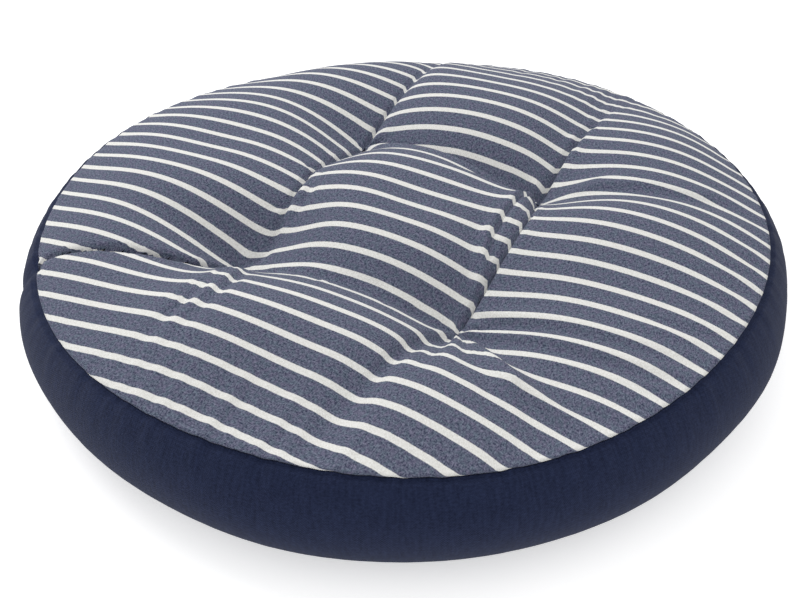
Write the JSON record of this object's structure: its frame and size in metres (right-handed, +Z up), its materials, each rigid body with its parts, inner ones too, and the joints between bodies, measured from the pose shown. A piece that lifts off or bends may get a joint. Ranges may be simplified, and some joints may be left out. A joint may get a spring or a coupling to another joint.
{
  "type": "floor cushion",
  "caption": "Round boxed floor cushion with a striped tufted top, a plain side band and a fibre filling, for sitting on.",
  "frame": {"origin": "centre of the flat underside, on the floor", "axes": "+Z up; +X along the stripes of the top panel; +Y across them"},
  "size_m": [0.6, 0.6, 0.1085],
  "materials": {
    "striped_fabric": "matt heathered blue-grey weave with cream stripes",
    "navy_fabric": "matt plain weave",
    "filling": "loose white fibre",
    "thread": "twisted sewing thread",
    "twine": "waxed twine",
    "felt": "pressed felt"
  },
  "bodies": {
    "root": {"top_panel": "striped_fabric", "bottom_panel": "navy_fabric", "side_band_front": "navy_fabric", "side_band_back": "navy_fabric", "fibre_filling": "filling", "top_seam_thread": "thread", "bottom_seam_thread": "thread", "closing_seam_thread": "thread", "band_join_thread_right": "thread", "band_join_thread_left": "thread", "tuft_twine_back_left": "twine", "tuft_twine_back_right": "twine", "tuft_twine_front_left": "twine", "tuft_twine_front_right": "twine", "tuft_washer_back_left": "felt", "tuft_washer_back_right": "felt", "tuft_washer_front_left": "felt", "tuft_washer_front_right": "felt"}
  },
  "joints": []
}
